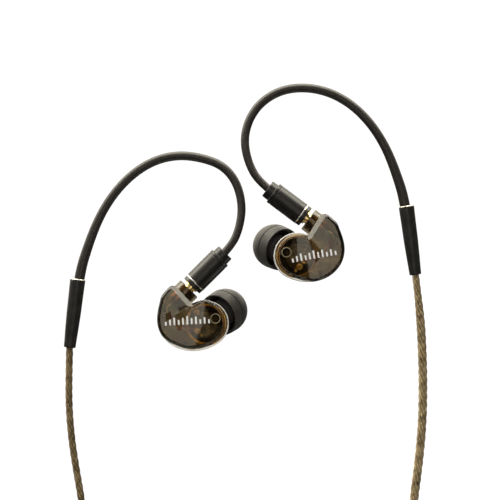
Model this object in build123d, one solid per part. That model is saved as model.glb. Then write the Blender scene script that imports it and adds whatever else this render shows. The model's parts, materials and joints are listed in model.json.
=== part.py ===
from build123d import *
import math
import os

# A pair of over-ear in ear monitors lying flat on a surface, millimetres.
# +X is the length of the pair, +Y is up the page, +Z is up off the surface.
# Layout points are given from the middle of the pair; `at` moves them to the
# frame whose origin is under the middle of everything but the free cord.

# ---------------------------------------------------------------- driving dimensions
origin_x = -2.0           # the middle of the pair's box, in layout points
origin_y = 8.9

axis_height = 11.0        # height of both connector axes
left_neck = (-14.4, -8.5)
right_neck = (13.5, 9.6)
left_heading = 45.0       # degrees, the way each connector points to its cable
right_heading = 143.13

# housing, in the earpiece frame: X to the cable, Y across, Z up, 0 at the trim ring
lobe_radius = 6.1
back_bends = [(-11.9, -13.5), (-15.5, -9.2), (-16.3, -5.0), (-13.6, 0.5), (-9.7, 3.2)]
neck_line_x = -4.7
driver_x, driver_y, driver_z = -5.8, -9.6, 1.62
wall = 0.7
shell_bottom = -4.2
shell_top = 3.5
faceplate_top = 4.6
edge_round = 0.45
belly_round = 0.8
corner_round = 1.0
neck_radius = 3.2
neck_mouth = -2.45
boss_end = -8.2
vent_x, vent_y, vent_radius, vent_depth = -3.0, -10.5, 1.2, 0.2
pin_size = 0.38
pin_places = [(-12.3, -0.6), (-13.2, -9.4)]

# nozzle and tip, measured along the nozzle axis from the driver's centre
nozzle_droop = 49.0       # degrees below the faceplate's plane
nozzle_turn = -13.0       # degrees from the connector axis
driver_tilt = 12.0        # degrees, the driver leans towards the nozzle
slant_outer = 4.3
nozzle_radius, nozzle_bore = 2.45, 1.9
nozzle_flange = 2.9
nozzle_end = 10.2
barb_radius = 2.55
boss_radius = 3.4
tip_start = 5.5
tip_radius = 5.9
tip_wall = 0.7
tip_bore = 2.62
tip_core = 3.5
tip_channel = 2.0
tip_centre = 3.3

# driver, measured along its own axis, with 0 at the gold ring
ring_radius, ring_inner = 5.25, 4.7
frame_radius, frame_inner = 5.1, 4.6
magnet_radius = 3.0
frame_back, frame_front = 0.25, 1.15
magnet_back, magnet_front = -0.85, 0.75

# coaxial joint, along the connector axis
plug_radius, plug_bore = 1.42, 0.95
plug_flange = 1.9
plug_front = -5.6
pin_radius, pin_front = 0.3, -6.4
socket_radius, socket_bore = 2.1, 1.55
socket_mouth, socket_floor, socket_back = -2.55, -7.5, -7.9
groove_back, groove_front, groove_radius = -4.65, -4.15, 1.12

# connector body, along the same axis
nose_start = -1.42
barrel_end = 9.2
barrel_radius = 2.975
trim_width, trim_depth, trim_proud = 0.35, 0.15, 0.04
plug_tail = 1.0
barrel_bore = 1.95
collar_end, collar_radius = 11.1, 2.45
collar_root = 7.2

# ear hook and its sleeve
hook_diameter = 2.3
sleeve_top_radius, sleeve_end_radius = 2.05, 1.62

# free cord
branch_diameter = 1.95
main_diameter = 2.5
floor_gap = 0.03
pair_gap = 2.5            # the two branches, centre to centre, in slider and splitter
pair_height = 2.5
branch_coil_radius = 10.6
main_coil_radius = 14.0
slider_length, slider_width, slider_height = 6.0, 6.6, 4.4
splitter_length, splitter_radius = 9.0, 2.5
plug_height = 3.55
relief_length, handle_length, handle_radius = 9.5, 18.0, 3.5
jack_radius = 1.75

os.makedirs("parts", exist_ok=True)
parts = {}


def keep(name, shape):
    """Files a finished piece under its node's name."""
    shape.label = name
    parts[name] = shape


def at(x, y, z):
    """A layout point in the part's own frame."""
    return Vector(x - origin_x, y - origin_y, z)


def rod(radius, start, end, plane=Plane.YZ):
    """A solid cylinder along a plane's normal, from start to end."""
    disc = Cylinder(radius, end - start, align=(Align.CENTER, Align.CENTER, Align.MIN))
    return plane.offset(start) * disc


def tube(outer, inner, start, end, plane=Plane.YZ):
    """A hollow cylinder along a plane's normal."""
    return rod(outer, start, end, plane) - rod(inner, start - 1, end + 1, plane)


def bend_radii(points, bend_share=0.45):
    """One bend radius for each corner of a route, as large as its two runs allow."""
    radii = []
    for before, corner, after in zip(points, points[1:], points[2:]):
        turn = math.radians((corner - before).get_angle(after - corner))
        run = min((corner - before).length, (after - corner).length)
        radii.append(bend_share * run / math.tan(turn / 2))
    return radii


def route_tube(points, diameter, name):
    """A round tube along straight runs joined by tangent arcs; prints its bends and volume."""
    radii = bend_radii(points)
    path = FilletPolyline(*points, radius=radii)
    start = Plane(origin=points[0], z_dir=points[1] - points[0])
    solid = sweep(start * Circle(diameter / 2), path=path)
    section = math.pi * diameter**2 / 4
    ratio = solid.volume / (section * path.length)
    print(f"{name}: length {path.length:.1f}, tightest bend {min(radii):.1f},", end=" ")
    print(f"radii {[round(r, 1) for r in radii]}, volume ratio {ratio:.4f}")
    return solid


# ---------------------------------------------------------------- frames of the earpieces
def heading_vector(degrees):
    return Vector(math.cos(math.radians(degrees)), math.sin(math.radians(degrees)), 0)


earpiece_planes = {
    "left": Plane(at(*left_neck, axis_height), x_dir=heading_vector(left_heading), z_dir=(0, 0, 1)),
    "right": Plane(at(*right_neck, axis_height), x_dir=heading_vector(right_heading), z_dir=(0, 0, 1)),
}


def place(shape, side):
    """Moves a piece of the left-handed earpiece to its side; the right one is its mirror."""
    if side == "right":
        shape = mirror(shape, about=Plane.XZ)
    return earpiece_planes[side] * shape


driver_centre = Vector(driver_x, driver_y, driver_z)
droop, turn_in = math.radians(nozzle_droop), math.radians(nozzle_turn)
level = Vector(math.cos(turn_in), math.sin(turn_in), 0)
nozzle_axis = level * math.cos(droop) + Vector(0, 0, -math.sin(droop))
nozzle_plane = Plane(driver_centre, x_dir=level.cross(Vector(0, 0, 1)), z_dir=nozzle_axis)
lean = math.radians(driver_tilt)
driver_axis = level * math.sin(lean) + Vector(0, 0, -math.cos(lean))
driver_plane = Plane(driver_centre, x_dir=level.cross(Vector(0, 0, 1)), z_dir=driver_axis)


def beyond(distance):
    """The half space past a distance along the nozzle axis, as a large block."""
    block = Box(60, 60, 40, align=(Align.CENTER, Align.CENTER, Align.MIN))
    return nozzle_plane.offset(distance) * block


# ---------------------------------------------------------------- housing
def housing_outline(inset=0.0):
    """The kidney outline, or the one a wall further in: a round lobe, a long back, a neck."""
    radius = lobe_radius - inset
    neck_top = (neck_line_x - inset, 3.95 - inset)
    neck_foot = neck_line_x - 0.25 - inset
    lobe_start = -100.0
    lobe_end = math.degrees(math.acos((neck_foot - driver_x) / radius))
    lobe = CenterArc((driver_x, driver_y), radius, lobe_start, lobe_end - lobe_start)
    middle = Vector(driver_x - 3.2, driver_y + 4.0)
    back_points = [Vector(*p) for p in back_bends]
    back_points = [p + (middle - p).normalized() * inset for p in back_points]
    back = Spline(
        [lobe @ 0] + back_points + [neck_top],
        tangents=[-(lobe % 0), Vector(1, 0.05)],
    )
    neck = Line(back @ 1, lobe @ 1)
    face = make_face([lobe, back, neck])
    neck_corners = face.vertices().sort_by(Axis.X)[-2:]
    return fillet(neck_corners, corner_round - inset)


def slab(face, bottom, top):
    return Pos(0, 0, bottom) * extrude(face, top - bottom)


def make_housing(side):
    outline = housing_outline()
    body = slab(outline, shell_bottom, shell_top)
    body = fillet(body.edges().group_by(Axis.Z)[0], belly_round)
    body -= beyond(slant_outer)
    cavity = slab(housing_outline(wall), shell_bottom + wall, shell_top + 1)
    cavity -= beyond(slant_outer - wall)
    seat = tube(lobe_radius + 1, frame_inner - 0.1, frame_front, frame_front + 0.9, driver_plane) & body
    shell = body - cavity + seat
    shell += rod(neck_radius, boss_end, neck_mouth)
    shell -= rod(socket_radius, socket_back, neck_mouth + 1)
    shell += rod(boss_radius, slant_outer - wall, slant_outer + 0.5, nozzle_plane)
    shell -= rod(nozzle_radius, slant_outer - 2 * wall, slant_outer + 2, nozzle_plane)
    keep(f"{side}_shell", place(shell, side))

    plate = slab(outline, shell_top, faceplate_top)
    plate = fillet(plate.edges().group_by(Axis.Z)[-1], edge_round)
    plate -= Pos(vent_x, vent_y, faceplate_top) * Cylinder(vent_radius, 2 * vent_depth)
    keep(f"{side}_faceplate", place(plate, side))


def make_nozzle(side):
    inner_face = slant_outer - wall
    nozzle = rod(nozzle_radius, inner_face, nozzle_end, nozzle_plane)
    nozzle += rod(nozzle_flange, inner_face - 0.35, inner_face, nozzle_plane)
    nozzle += rod(barb_radius, nozzle_end - 0.9, nozzle_end - 0.3, nozzle_plane)
    nozzle -= rod(nozzle_bore, inner_face - 1, nozzle_end + 1, nozzle_plane)
    keep(f"{side}_nozzle", place(nozzle, side))
    screen = rod(nozzle_bore, nozzle_end - 0.3, nozzle_end - 0.12, nozzle_plane)
    keep(f"{side}_nozzle_screen", place(screen, side))


def make_driver(side):
    ring = tube(ring_radius, ring_inner, -0.3, frame_back, driver_plane)
    keep(f"{side}_driver_ring", place(ring, side))
    basket = rod(frame_radius, frame_back, frame_front, driver_plane)
    basket -= rod(frame_inner, frame_back + 0.3, frame_front + 1, driver_plane)
    basket -= rod(magnet_radius, frame_back - 1, frame_front, driver_plane)
    keep(f"{side}_driver_frame", place(basket, side))
    magnet = rod(magnet_radius, magnet_back, magnet_front, driver_plane)
    keep(f"{side}_driver_magnet", place(magnet, side))
    diaphragm = rod(frame_inner, frame_front - 0.15, frame_front - 0.05, driver_plane)
    diaphragm += rod(1.9, frame_front - 0.3, frame_front - 0.15, driver_plane)
    keep(f"{side}_driver_diaphragm", place(diaphragm, side))


def make_wiring(side):
    board = Pos(boss_end - 1.5, -0.6, 0.9) * Box(3.0, 3.2, 0.5)
    keep(f"{side}_terminal_board", place(board, side))
    wires = []
    for shift, rise in ((0.0, 0.0), (1.0, 0.12)):
        route = [
            Vector(boss_end - 2.6 + shift, -0.9, 1.37),
            Vector(boss_end - 3.9 + shift, -3.4, 2.35 + rise),
            Vector(boss_end - 3.0 + shift, -7.0, 2.7 + rise),
            Vector(boss_end - 0.2 + shift, -9.4 - shift / 2, 2.32 + shift * 0.16),
        ]
        wires.append(route_tube(route, 0.4, f"{side} lead wire"))
    keep(f"{side}_lead_wires", Compound(children=[place(w, side) for w in wires]))


def make_guide_pins(side):
    """Two plain pins that line the faceplate up with the shell."""
    pins = [Pos(x, y, 0) * rod(pin_size, shell_bottom + wall, shell_top, Plane.XY) for x, y in pin_places]
    keep(f"{side}_guide_pins", Compound(children=[place(pin, side) for pin in pins]))


def make_tip(side):
    """One silicone flange: a sleeve that grips the nozzle inside a domed, hollow skirt."""
    inner = tip_radius - tip_wall
    front = tip_centre + math.sqrt(tip_radius**2 - tip_channel**2)
    core_top = tip_centre + math.sqrt(inner**2 - tip_core**2)
    nose = nozzle_end - tip_start + 0.3

    def on_sphere(radius, degrees):
        a = math.radians(degrees)
        return (radius * math.cos(a), tip_centre + radius * math.sin(a))

    edge = [
        Line((inner + 0.1, 0), (tip_radius - 0.15, 0)),
        Line((tip_radius - 0.15, 0), (tip_radius, tip_centre)),
        ThreePointArc((tip_radius, tip_centre), on_sphere(tip_radius, 40), (tip_channel, front)),
        Polyline(
            (tip_channel, front),
            (tip_channel, nose),
            (tip_bore, nose),
            (tip_bore, 0.2),
            (tip_core, 0.2),
            (tip_core, core_top),
        ),
        ThreePointArc((tip_core, core_top), on_sphere(inner, 25), (inner, tip_centre)),
        Line((inner, tip_centre), (inner + 0.1, 0)),
    ]
    profile = Plane.XZ * make_face(edge)
    tip = revolve(profile, Axis.Z)
    keep(f"{side}_ear_tip", place(nozzle_plane.offset(tip_start) * tip, side))


# ---------------------------------------------------------------- coaxial joint and connector
def make_connector(side):
    socket = tube(socket_radius, socket_bore, socket_floor, socket_mouth)
    socket += rod(socket_radius, socket_back, socket_floor)
    keep(f"{side}_coax_socket", place(socket, side))

    plug = rod(plug_radius, plug_front, plug_tail)
    plug += rod(plug_flange, nose_start - 0.5, nose_start)
    plug -= tube(plug_flange + 1, groove_radius, groove_back, groove_front)
    plug -= rod(plug_bore, plug_front - 1, plug_tail + 1)
    keep(f"{side}_plug_contact", place(plug, side))
    insulator = tube(plug_bore, pin_radius, plug_front + 0.2, plug_tail)
    keep(f"{side}_plug_insulator", place(insulator, side))
    keep(f"{side}_plug_pin", place(rod(pin_radius, pin_front, plug_tail + 0.6), side))

    gap = Pos((groove_back + groove_front) / 2, 0, 2) * Box(2, 0.5, 4)
    snap_ring = tube(plug_radius + 0.06, groove_radius + 0.05, groove_back + 0.05, groove_front - 0.05)
    keep(f"{side}_snap_ring", place(snap_ring - gap, side))

    barrel = rod(barrel_radius, nose_start, barrel_end)
    barrel = chamfer(barrel.edges().filter_by(GeomType.CIRCLE), 0.2)
    barrel += rod(collar_radius, barrel_end, collar_end)
    barrel -= tube(barrel_radius + 1, barrel_radius - trim_depth, -trim_width, 0)
    barrel -= rod(plug_radius, nose_start - 1, plug_tail)
    barrel -= rod(barrel_bore, plug_tail, collar_root)
    barrel -= rod(hook_diameter / 2, collar_root - 1, collar_end + 1)
    keep(f"{side}_connector_barrel", place(barrel, side))
    trim = tube(barrel_radius + trim_proud, barrel_radius - trim_depth, -trim_width, 0)
    keep(f"{side}_trim_ring", place(trim, side))


# ---------------------------------------------------------------- ear hooks and sleeves
hook_bends = {
    "left": [
        (-2.75, 6.0, 10.4),
        (-2.0, 11.8, 9.5),
        (-3.5, 18.0, 8.4),
        (-7.2, 22.5, 7.3),
        (-12.9, 24.6, 6.3),
        (-19.0, 25.35, 5.4),
        (-25.2, 24.1, 4.6),
        (-31.0, 20.7, 3.9),
        (-36.0, 15.7, 3.3),
        (-39.9, 9.7, 2.8),
        (-42.9, 2.6, 2.5),
    ],
    "right": [
        (-0.3, 22.6, 10.3),
        (-1.65, 28.8, 9.4),
        (-0.5, 34.4, 8.5),
        (2.8, 39.3, 7.5),
        (8.2, 42.6, 6.5),
        (14.6, 43.45, 5.6),
        (21.2, 42.2, 4.8),
        (27.2, 38.9, 4.1),
        (32.2, 34.0, 3.5),
        (36.1, 28.0, 3.0),
        (38.9, 21.3, 2.6),
    ],
}
sleeve_ends = {
    "left": ((-46.1, -7.6, 2.09), (-48.35, -26.1, 1.67)),
    "right": ((41.85, 12.0, 2.09), (44.35, -6.6, 1.67)),
}
hook_straight = 2.5       # how far the hook runs straight on past the collar


def make_hook(side):
    neck_plane = earpiece_planes[side]
    along = neck_plane.x_dir
    start = neck_plane.origin + along * collar_root
    first_bend = neck_plane.origin + along * (collar_end + hook_straight)
    bends = [at(*p) for p in hook_bends[side]]
    top, end = (at(*p) for p in sleeve_ends[side])
    hook = route_tube([start, first_bend] + bends + [top, end], hook_diameter, f"{side} hook")
    keep(f"{side}_ear_hook", hook)
    length = (end - top).length
    sleeve = Cone(
        sleeve_top_radius,
        sleeve_end_radius,
        length,
        align=(Align.CENTER, Align.CENTER, Align.MIN),
    )
    sleeve = Plane(top, z_dir=end - top) * sleeve
    keep(f"{side}_cable_sleeve", sleeve - hook)


# ---------------------------------------------------------------- free cord
lay = branch_diameter / 2 + floor_gap
main_lay = main_diameter / 2 + floor_gap
coil_centres = {"left": (-33.6, -89.5), "right": (33.0, -88.2)}
main_coil_centre = (20.0, -144.0)

branch_routes = {
    "left": [
        (-48.55, -33.0, lay + 0.1),
        (-48.6, -41.5, lay),
        (-47.9, -50.5, lay),
        (-46.6, -59.0, lay),
        (-45.1, -67.4, lay),
        (-44.3, -77.5, lay),
        (-44.2, -89.5, lay),
    ],
    "right": [
        (45.4, -14.6, lay + 0.1),
        (46.15, -25.0, lay),
        (46.45, -36.5, lay),
        (46.2, -47.0, lay),
        (45.2, -57.5, lay),
        (43.9, -67.0, lay),
        (43.5, -76.6, lay),
        (43.6, -88.2, lay),
    ],
}
lead_routes = {
    "left": [
        (-23.0, -89.5, 3 * lay),
        (-23.1, -82.2, 3 * lay),
        (-21.6, -75.6, lay + 0.3),
        (-15.9, -71.9, lay),
        (-8.6, -72.9, lay),
        (-3.4, -78.9, lay + 0.6),
        (-pair_gap / 2, -87.0, pair_height),
        (-pair_gap / 2, -108.0, pair_height),
    ],
    "right": [
        (22.4, -88.2, 3 * lay),
        (22.6, -81.2, 3 * lay),
        (21.4, -74.8, lay + 0.3),
        (15.8, -71.4, lay),
        (8.7, -72.6, lay),
        (3.5, -78.6, lay + 0.6),
        (pair_gap / 2, -87.0, pair_height),
        (pair_gap / 2, -108.0, pair_height),
    ],
}
splitter_top = (0.0, -108.0)
main_route = [
    (0.0, -108.0 - splitter_length, pair_height),
    (0.5, -126.2, main_lay + 0.2),
    (8.2, -131.2, main_lay),
    (20.0, -130.0, main_lay),
]
main_lead_route = [
    (20.0, -158.0, 5 * main_lay),
    (10.0, -158.9, 5.0),
    (1.0, -157.6, plug_height),
]
plug_tail_point = (1.0, -157.6)


def coil(centre, mid_radius, diameter, layers_out, layers_up):
    """The outer shape of a neat round coil lying on the surface."""
    half = layers_out * diameter / 2
    ring = Cylinder(mid_radius + half, layers_up * diameter, align=(Align.CENTER, Align.CENTER, Align.MIN))
    ring -= Cylinder(mid_radius - half, 4 * layers_up * diameter)
    ring = fillet(ring.edges().filter_by(GeomType.CIRCLE), 0.4 * diameter)
    return Pos(at(*centre, floor_gap)) * ring


def outside(cord, ring):
    """The longest piece of a cord's tube that is left when its coil is taken away."""
    return (cord - ring).solids().sort_by(SortBy.VOLUME)[-1]


def make_branch(side):
    start = sleeve_ends[side][1]
    ring = coil(coil_centres[side], branch_coil_radius, branch_diameter, 2, 2)
    keep(f"{side}_branch_coil", ring)
    route = [at(*p) for p in [start] + branch_routes[side]]
    cable = route_tube(route, branch_diameter, f"{side} branch") - parts[f"{side}_ear_hook"]
    keep(f"{side}_branch_cable", outside(cable, ring))
    lead = [at(*p) for p in lead_routes[side]]
    keep(f"{side}_branch_lead", outside(route_tube(lead, branch_diameter, f"{side} lead"), ring))


def make_slider_and_splitter():
    body = Box(slider_width, slider_length, slider_height)
    body = fillet(body.edges().filter_by(Axis.Y), 1.6)
    slot = SlotCenterToCenter(pair_gap, branch_diameter + 0.3)
    body -= extrude(Plane.XZ * slot, slider_length, both=True)
    middle = at(splitter_top[0], splitter_top[1] + 1.2 + slider_length / 2, pair_height)
    keep("chin_slider", Pos(middle) * body)

    down = Plane(at(*splitter_top, pair_height), z_dir=(0, -1, 0))
    splitter = rod(splitter_radius, 0, splitter_length, down)
    splitter = fillet(splitter.edges().filter_by(GeomType.CIRCLE), 0.22)
    keep("y_splitter", splitter)


def make_main_cable():
    ring = coil(main_coil_centre, main_coil_radius, main_diameter, 3, 3)
    keep("main_coil", ring)
    cable = route_tube([at(*p) for p in main_route], main_diameter, "main cable")
    keep("main_cable", outside(cable - parts["y_splitter"], ring))
    lead = route_tube([at(*p) for p in main_lead_route], main_diameter, "main lead")
    keep("main_lead", outside(lead - parts["plug_relief"], ring))


def make_jack():
    """A straight 3.5 mm plug with three contacts, lying beside the coil."""
    out = Plane(at(*plug_tail_point, plug_height), x_dir=(0, 1, 0), z_dir=(-1, 0, 0))
    relief = Cone(
        main_diameter / 2 + 0.25,
        handle_radius - 0.9,
        relief_length,
        align=(Align.CENTER, Align.CENTER, Align.MIN),
    )
    keep("plug_relief", out * relief)
    handle_end = relief_length + handle_length
    handle = rod(handle_radius, relief_length, handle_end, out)
    keep("plug_handle", chamfer(handle.edges().filter_by(GeomType.CIRCLE), 0.3))

    sleeve_end = handle_end + 8.2
    ring_start = sleeve_end + 0.5
    ring_end = ring_start + 1.9
    tip_begin = ring_end + 0.5
    keep("jack_sleeve", rod(jack_radius, handle_end, sleeve_end, out))
    keep("jack_ring", rod(jack_radius, ring_start, ring_end, out))
    insulators = [
        rod(jack_radius, sleeve_end, ring_start, out),
        rod(jack_radius, ring_end, tip_begin, out),
    ]
    keep("jack_insulators", Compound(children=insulators))
    nose = [
        (0, 0),
        (jack_radius, 0),
        (jack_radius, 0.5),
        (1.1, 1.0),
        (1.65, 1.9),
        (0.5, 2.9),
        (0, 2.9),
    ]
    tip = revolve(Plane.XZ * make_face(Polyline(nose, close=True)), Axis.Z)
    keep("jack_tip", out.offset(tip_begin) * tip)


# ---------------------------------------------------------------- build and write
for side in ("left", "right"):
    make_housing(side)
    make_nozzle(side)
    make_driver(side)
    make_wiring(side)
    make_guide_pins(side)
    make_tip(side)
    make_connector(side)
    make_hook(side)
    make_branch(side)
make_slider_and_splitter()
make_jack()
make_main_cable()

for name, shape in parts.items():
    export_step(shape, f"parts/{name}.step")
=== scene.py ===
import json
import math

import bmesh
import bpy
from mathutils import Matrix, Vector


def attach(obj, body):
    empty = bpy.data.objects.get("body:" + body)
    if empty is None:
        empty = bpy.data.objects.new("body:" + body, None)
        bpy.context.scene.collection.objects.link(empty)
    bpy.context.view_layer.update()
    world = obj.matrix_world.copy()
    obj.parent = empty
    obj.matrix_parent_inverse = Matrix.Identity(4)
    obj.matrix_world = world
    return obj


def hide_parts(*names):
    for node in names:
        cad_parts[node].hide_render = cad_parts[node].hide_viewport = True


# A pair of in ear monitors with ear hooks, lying on a pale surface, seen from above.
# Lengths inside functions are millimetres; `Matrix.Scale(MM, 4)` brings them to metres.

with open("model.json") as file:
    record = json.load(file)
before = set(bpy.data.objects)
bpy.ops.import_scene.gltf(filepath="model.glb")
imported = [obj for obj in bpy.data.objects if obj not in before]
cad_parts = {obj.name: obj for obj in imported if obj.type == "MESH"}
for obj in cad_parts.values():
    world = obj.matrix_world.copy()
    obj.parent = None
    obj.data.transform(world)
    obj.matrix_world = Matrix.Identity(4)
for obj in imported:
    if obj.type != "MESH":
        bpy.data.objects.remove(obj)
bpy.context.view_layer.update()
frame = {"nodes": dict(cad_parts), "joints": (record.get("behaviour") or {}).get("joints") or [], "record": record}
nodes = frame["nodes"]
joints = {joint["name"]: joint for joint in frame["joints"]}
mounts = {mount["name"]: mount for mount in frame["record"]["mounts"]}
scene = bpy.context.scene

MM = 0.001
SIDES = ("left", "right")
TO_METRES = Matrix.Scale(MM, 4)
LAYOUT_SHIFT = Vector((2.0, -8.9, 0.0))      # from layout points to the frame's origin
UP = Vector((0, 0, 1))
TIP_FRONT = 14.35                            # from the driver's centre along the nozzle
CAMERA_HEIGHT, CAMERA_LENS = 750, 201.0
SHARP_DEGREES = 40.0                         # edges sharper than this are not shaded smooth


def at(x, y, z):
    """A layout point, as in the part's source, in metres in the frame."""
    return (Vector((x, y, z)) + LAYOUT_SHIFT) * MM


def smooth_step(x):
    x = min(max(x, 0.0), 1.0)
    return x * x * (3 - 2 * x)


def turned_to(origin, axis):
    """A placement in metres with its Z along axis, for pieces made in millimetres."""
    z = Vector(axis).normalized()
    side = UP if abs(z.dot(UP)) < 0.95 else Vector((1, 0, 0))
    x = side.cross(z).normalized()
    y = z.cross(x)
    turn = Matrix((x, y, z)).transposed().to_4x4()
    return Matrix.Translation(origin) @ turn @ TO_METRES


def earpiece_place(side):
    """The earpiece's own frame: X to the cable, Y across, Z up, from its connector joint."""
    swivel = joints[f"{side}_connector_swivel"]
    x = Vector(swivel["axis"])
    y = UP.cross(x)
    if side == "right":
        y = -y
    turn = Matrix((x, y, UP)).transposed().to_4x4()
    return Matrix.Translation(Vector(swivel["pos_m"])) @ turn @ TO_METRES


earpieces = {side: earpiece_place(side) for side in SIDES}


def along_connector(side):
    """The connector's axis as a lathe placement, 0 at the trim ring, growing to the cable."""
    swivel = joints[f"{side}_connector_swivel"]
    return turned_to(Vector(swivel["pos_m"]), swivel["axis"])


def along_nozzle(side):
    """The nozzle's axis as a lathe placement, 0 at the driver's centre."""
    canal = mounts[f"{side}_ear_canal"]
    axis = Vector(canal["axis"])
    return turned_to(Vector(canal["pos_m"]) - axis * TIP_FRONT * MM, axis)


# ---- camera
def make_camera():
    data = bpy.data.cameras.new("camera")
    data.lens = CAMERA_LENS
    data.sensor_width = 36.0
    data.clip_start = 0.01
    camera = bpy.data.objects.new("camera", data)
    camera.location = at(0, 0, CAMERA_HEIGHT)
    scene.collection.objects.link(camera)
    scene.camera = camera


# ---- materials
class Look:
    """A node material built round one principled shader."""

    def __init__(self, name, **inputs):
        self.material = bpy.data.materials.new(name)
        self.material.use_nodes = True
        self.tree = self.material.node_tree
        self.tree.nodes.clear()
        self.output = self.tree.nodes.new("ShaderNodeOutputMaterial")
        self.shader = self.tree.nodes.new("ShaderNodeBsdfPrincipled")
        self.link(self.shader.outputs[0], self.output.inputs["Surface"])
        self.where = self.tree.nodes.new("ShaderNodeTexCoord").outputs["Object"]
        for socket, value in inputs.items():
            self.shader.inputs[socket.replace("_", " ")].default_value = value

    def link(self, source, target):
        self.tree.links.new(source, target)

    def node(self, kind, **inputs):
        made = self.tree.nodes.new(kind)
        for socket, value in inputs.items():
            made.inputs[socket.replace("_", " ")].default_value = value
        return made

    def noise(self, size_mm, detail=3.0):
        """Noise with features of about the given size."""
        noise = self.node("ShaderNodeTexNoise", Scale=1.0 / (size_mm * MM), Detail=detail)
        self.link(self.where, noise.inputs["Vector"])
        return noise.outputs["Fac"]

    def colours(self, factor, low, high, start=0.35, end=0.65):
        """Base colour that runs from low to high as factor grows."""
        ramp = self.node("ShaderNodeValToRGB")
        ramp.color_ramp.elements[0].position = start
        ramp.color_ramp.elements[0].color = (*low, 1)
        ramp.color_ramp.elements[1].position = end
        ramp.color_ramp.elements[1].color = (*high, 1)
        self.link(factor, ramp.inputs["Fac"])
        self.link(ramp.outputs["Color"], self.shader.inputs["Base Color"])

    def tinged(self, share, colour):
        """Runs the base colour over into another one as share grows."""
        base = self.shader.inputs["Base Color"]
        mix = self.tree.nodes.new("ShaderNodeMix")
        mix.data_type = "RGBA"
        own, other, mixed = mix.inputs[6], mix.inputs[7], mix.outputs[2]   # its colour sockets
        own.default_value = base.default_value
        other.default_value = (*colour, 1)
        self.link(share, mix.inputs[0])
        if base.is_linked:
            self.link(base.links[0].from_socket, own)
        self.link(mixed, base)

    def roughness(self, factor, low, high):
        spread = self.node(
            "ShaderNodeMapRange", From_Min=0.3, From_Max=0.7, To_Min=low, To_Max=high,
        )
        self.link(factor, spread.inputs["Value"])
        self.link(spread.outputs["Result"], self.shader.inputs["Roughness"])

    def bump(self, factor, depth_mm):
        """Relief of a given depth."""
        bump = self.node("ShaderNodeBump", Distance=depth_mm * MM, Strength=1.0)
        self.link(factor, bump.inputs["Height"])
        self.link(bump.outputs["Normal"], self.shader.inputs["Normal"])

    def rings(self, axis, spacing_mm):
        """Fine turning marks square to an axis, from 0 to 1."""
        along = self.node("ShaderNodeVectorMath")
        along.operation = "DOT_PRODUCT"
        along.inputs[1].default_value = Vector(axis) / (spacing_mm * MM)
        self.link(self.where, along.inputs[0])
        marks = self.node("ShaderNodeTexNoise", Scale=1.0, Detail=2.0)
        marks.noise_dimensions = "1D"
        self.link(along.outputs["Value"], marks.inputs["W"])
        return marks.outputs["Fac"]


def grained(name, low, high, rough, grain_mm, relief_mm, **inputs):
    """A moulded or cast surface: broad colour change, fine grain, uneven gloss."""
    look = Look(name, **inputs)
    look.colours(look.noise(grain_mm * 14), low, high)
    look.roughness(look.noise(grain_mm * 5), *rough)
    look.bump(look.noise(grain_mm, detail=5.0), relief_mm)
    return look


def turned_metal(
    name, axis, low, high, rough, spacing_mm=0.12, relief_mm=0.004, metallic=1.0, **inputs
):
    """A surface finished on a lathe, bare metal or painted, with fine rings round its axis."""
    look = Look(name, Metallic=metallic, **inputs)
    look.colours(look.noise(1.1), low, high)
    marks = look.rings(axis, spacing_mm)
    look.roughness(marks, *rough)
    look.bump(marks, relief_mm)
    return look


def see_through(name, tint, clear_tint, roughness, wave_mm=0.002, rim_tint=None, amber=None):
    """Tinted clear plastic: refracts what is behind it and lets light in, tinted.
    With a rim tint, the colour runs from it to the tint as the piece gets deeper."""
    look = Look(name, Transmission_Weight=1.0, IOR=1.5, Base_Color=(*tint, 1))
    if rim_tint:
        depth = look.tree.nodes.new("ShaderNodeAttribute")
        depth.attribute_name = "depth"
        look.colours(depth.outputs["Fac"], rim_tint, tint, 0.2, 1.0)
    if amber:
        share = look.node("ShaderNodeMapRange", From_Min=0.5, From_Max=0.72)
        look.link(look.noise(2.6, detail=4.0), share.inputs["Value"])
        look.tinged(share.outputs["Result"], amber)
    look.roughness(look.noise(1.8), *roughness)
    look.bump(look.noise(2.6, detail=1.0), wave_mm)
    clear = look.node("ShaderNodeBsdfTransparent", Color=(*clear_tint, 1))
    mix = look.node("ShaderNodeMixShader")
    rays = look.node("ShaderNodeLightPath")
    look.link(rays.outputs["Is Shadow Ray"], mix.inputs["Fac"])
    look.link(look.shader.outputs[0], mix.inputs[1])
    look.link(clear.outputs[0], mix.inputs[2])
    look.link(mix.outputs[0], look.output.inputs["Surface"])
    return look


PLATE_LOOK = see_through(
    "clear_faceplate", (0.27, 0.21, 0.115), (0.85, 0.8, 0.7), (0.015, 0.03), 0.0006,
    amber=(0.72, 0.57, 0.3),
)
SHELL_LOOK = see_through(
    "clear_shell", (0.115, 0.088, 0.046), (0.5, 0.45, 0.35), (0.02, 0.045),
    rim_tint=(0.8, 0.77, 0.68), amber=(0.24, 0.165, 0.05),
)
NECK_LOOK = see_through("clear_neck", (0.2, 0.16, 0.1), (0.6, 0.55, 0.45), (0.02, 0.05))
MARK_LOOK = grained("mark_edge", (0.2, 0.16, 0.09), (0.32, 0.27, 0.16), (0.25, 0.4), 0.2, 0.002)
# A pale bead along the wall's top edge that stands in for the edge's highlight: a painted highlight.
RIM_HIGHLIGHT_LOOK = grained(
    "painted_rim_highlight", (0.9, 0.89, 0.86), (0.97, 0.97, 0.95), (0.12, 0.22), 0.5, 0.002,
    Transmission_Weight=0.35,
)
BOSS_LOOK = see_through("clear_boss", (0.28, 0.23, 0.15), (0.5, 0.45, 0.35), (0.02, 0.045))
SILICONE_LOOK = grained(
    "silicone", (0.027, 0.0243, 0.0222), (0.038, 0.0343, 0.0305), (0.48, 0.56), 0.12, 0.0015,
    Specular_IOR_Level=0.55, Sheen_Weight=0.12, Sheen_Roughness=0.4,
)
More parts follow.
